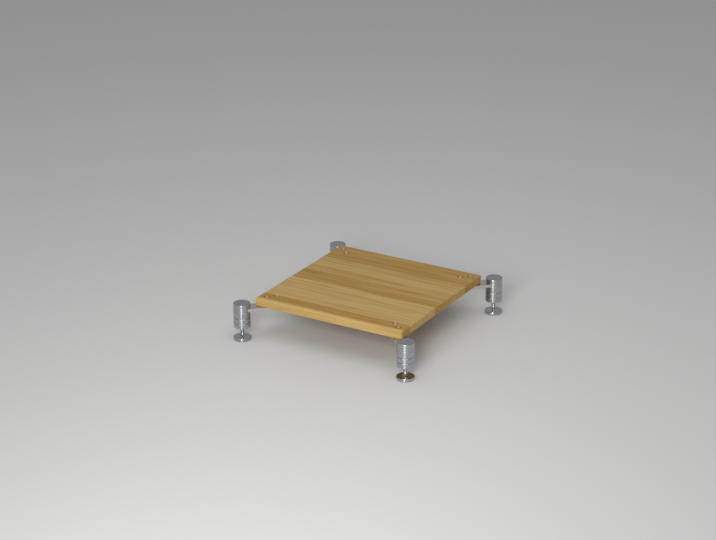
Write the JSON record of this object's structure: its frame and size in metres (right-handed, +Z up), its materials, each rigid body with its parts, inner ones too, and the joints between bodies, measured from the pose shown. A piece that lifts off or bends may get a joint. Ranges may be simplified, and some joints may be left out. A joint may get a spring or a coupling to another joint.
{
  "type": "low hi-fi stand",
  "caption": "Square hardwood shelf carried low on diagonal flat arms by polished columns, each on an adjustable spike and a dished floor disc.",
  "frame": {"origin": "on the floor, under the middle of the shelf, midway between the four columns", "axes": "+Z up; -Y towards the front edge; +X towards the right-hand columns seen from the front"},
  "size_m": [0.595, 0.595, 0.126],
  "materials": {
    "oiled_wood": "oiled, satin",
    "satin_metal": "satin nickel plate",
    "polished_chrome": "mirror polish",
    "plated_steel": "bright zinc plate",
    "bolt_steel": "bright stainless",
    "pad_rubber": "matt"
  },
  "bodies": {
    "stand_frame": {"shelf_board": "oiled_wood", "shelf_bolts": "bolt_steel", "shelf_bolt_washers": "bolt_steel", "front_left_arm": "satin_metal", "front_left_cap": "polished_chrome", "front_left_pillar": "polished_chrome", "front_left_stud": "plated_steel", "front_right_arm": "satin_metal", "front_right_cap": "polished_chrome", "front_right_pillar": "polished_chrome", "front_right_stud": "plated_steel", "back_right_arm": "satin_metal", "back_right_cap": "polished_chrome", "back_right_pillar": "polished_chrome", "back_right_stud": "plated_steel", "back_left_arm": "satin_metal", "back_left_cap": "polished_chrome", "back_left_pillar": "polished_chrome", "back_left_stud": "plated_steel"},
    "front_left_foot": {"front_left_floor_disc": "polished_chrome", "front_left_disc_pad": "pad_rubber"},
    "front_left_screw": {"front_left_spike": "plated_steel"},
    "front_left_washer": {"front_left_lock_washer": "plated_steel"},
    "front_left_nut": {"front_left_lock_nut": "plated_steel"},
    "front_right_foot": {"front_right_floor_disc": "polished_chrome", "front_right_disc_pad": "pad_rubber"},
    "front_right_screw": {"front_right_spike": "plated_steel"},
    "front_right_washer": {"front_right_lock_washer": "plated_steel"},
    "front_right_nut": {"front_right_lock_nut": "plated_steel"},
    "back_right_foot": {"back_right_floor_disc": "polished_chrome", "back_right_disc_pad": "pad_rubber"},
    "back_right_screw": {"back_right_spike": "plated_steel"},
    "back_right_washer": {"back_right_lock_washer": "plated_steel"},
    "back_right_nut": {"back_right_lock_nut": "plated_steel"},
    "back_left_foot": {"back_left_floor_disc": "polished_chrome", "back_left_disc_pad": "pad_rubber"},
    "back_left_screw": {"back_left_spike": "plated_steel"},
    "back_left_washer": {"back_left_lock_washer": "plated_steel"},
    "back_left_nut": {"back_left_lock_nut": "plated_steel"}
  },
  "joints": [
    {"name": "front_left_level", "type": "slide", "parent": "stand_frame", "child": "front_left_foot", "axis": [0, 0, -1], "range_m": [0, 0.008]},
    {"name": "front_left_spike_turn", "type": "hinge", "parent": "front_left_foot", "child": "front_left_screw", "pos_m": [-0.2715, -0.2715, 0.03], "axis": [0, 0, -1], "range_deg": [0, 1646.2]},
    {"name": "front_left_nut_back_off", "type": "slide", "parent": "stand_frame", "child": "front_left_washer", "axis": [0, 0, -1], "range_m": [0, 0.003]},
    {"name": "front_left_nut_turn", "type": "hinge", "parent": "front_left_washer", "child": "front_left_nut", "pos_m": [-0.2715, -0.2715, 0.037], "axis": [0, 0, -1], "range_deg": [0, 617.6]},
    {"name": "front_right_level", "type": "slide", "parent": "stand_frame", "child": "front_right_foot", "axis": [0, 0, -1], "range_m": [0, 0.008]},
    {"name": "front_right_spike_turn", "type": "hinge", "parent": "front_right_foot", "child": "front_right_screw", "pos_m": [0.2715, -0.2715, 0.03], "axis": [0, 0, -1], "range_deg": [0, 1646.2]},
    {"name": "front_right_nut_back_off", "type": "slide", "parent": "stand_frame", "child": "front_right_washer", "axis": [0, 0, -1], "range_m": [0, 0.003]},
    {"name": "front_right_nut_turn", "type": "hinge", "parent": "front_right_washer", "child": "front_right_nut", "pos_m": [0.2715, -0.2715, 0.037], "axis": [0, 0, -1], "range_deg": [0, 617.6]},
    {"name": "back_right_level", "type": "slide", "parent": "stand_frame", "child": "back_right_foot", "axis": [0, 0, -1], "range_m": [0, 0.008]},
    {"name": "back_right_spike_turn", "type": "hinge", "parent": "back_right_foot", "child": "back_right_screw", "pos_m": [0.2715, 0.2715, 0.03], "axis": [0, 0, -1], "range_deg": [0, 1646.2]},
    {"name": "back_right_nut_back_off", "type": "slide", "parent": "stand_frame", "child": "back_right_washer", "axis": [0, 0, -1], "range_m": [0, 0.003]},
    {"name": "back_right_nut_turn", "type": "hinge", "parent": "back_right_washer", "child": "back_right_nut", "pos_m": [0.2715, 0.2715, 0.037], "axis": [0, 0, -1], "range_deg": [0, 617.6]},
    {"name": "back_left_level", "type": "slide", "parent": "stand_frame", "child": "back_left_foot", "axis": [0, 0, -1], "range_m": [0, 0.008]},
    {"name": "back_left_spike_turn", "type": "hinge", "parent": "back_left_foot", "child": "back_left_screw", "pos_m": [-0.2715, 0.2715, 0.03], "axis": [0, 0, -1], "range_deg": [0, 1646.2]},
    {"name": "back_left_nut_back_off", "type": "slide", "parent": "stand_frame", "child": "back_left_washer", "axis": [0, 0, -1], "range_m": [0, 0.003]},
    {"name": "back_left_nut_turn", "type": "hinge", "parent": "back_left_washer", "child": "back_left_nut", "pos_m": [-0.2715, 0.2715, 0.037], "axis": [0, 0, -1], "range_deg": [0, 617.6]}
  ],
  "couplings": [
    {"joint": "front_left_spike_turn", "follows": "front_left_level", "rad_per_m": 3590.4},
    {"joint": "front_left_nut_turn", "follows": "front_left_nut_back_off", "rad_per_m": 3590.4},
    {"joint": "front_right_spike_turn", "follows": "front_right_level", "rad_per_m": 3590.4},
    {"joint": "front_right_nut_turn", "follows": "front_right_nut_back_off", "rad_per_m": 3590.4},
    {"joint": "back_right_spike_turn", "follows": "back_right_level", "rad_per_m": 3590.4},
    {"joint": "back_right_nut_turn", "follows": "back_right_nut_back_off", "rad_per_m": 3590.4},
    {"joint": "back_left_spike_turn", "follows": "back_left_level", "rad_per_m": 3590.4},
    {"joint": "back_left_nut_turn", "follows": "back_left_nut_back_off", "rad_per_m": 3590.4}
  ]
}
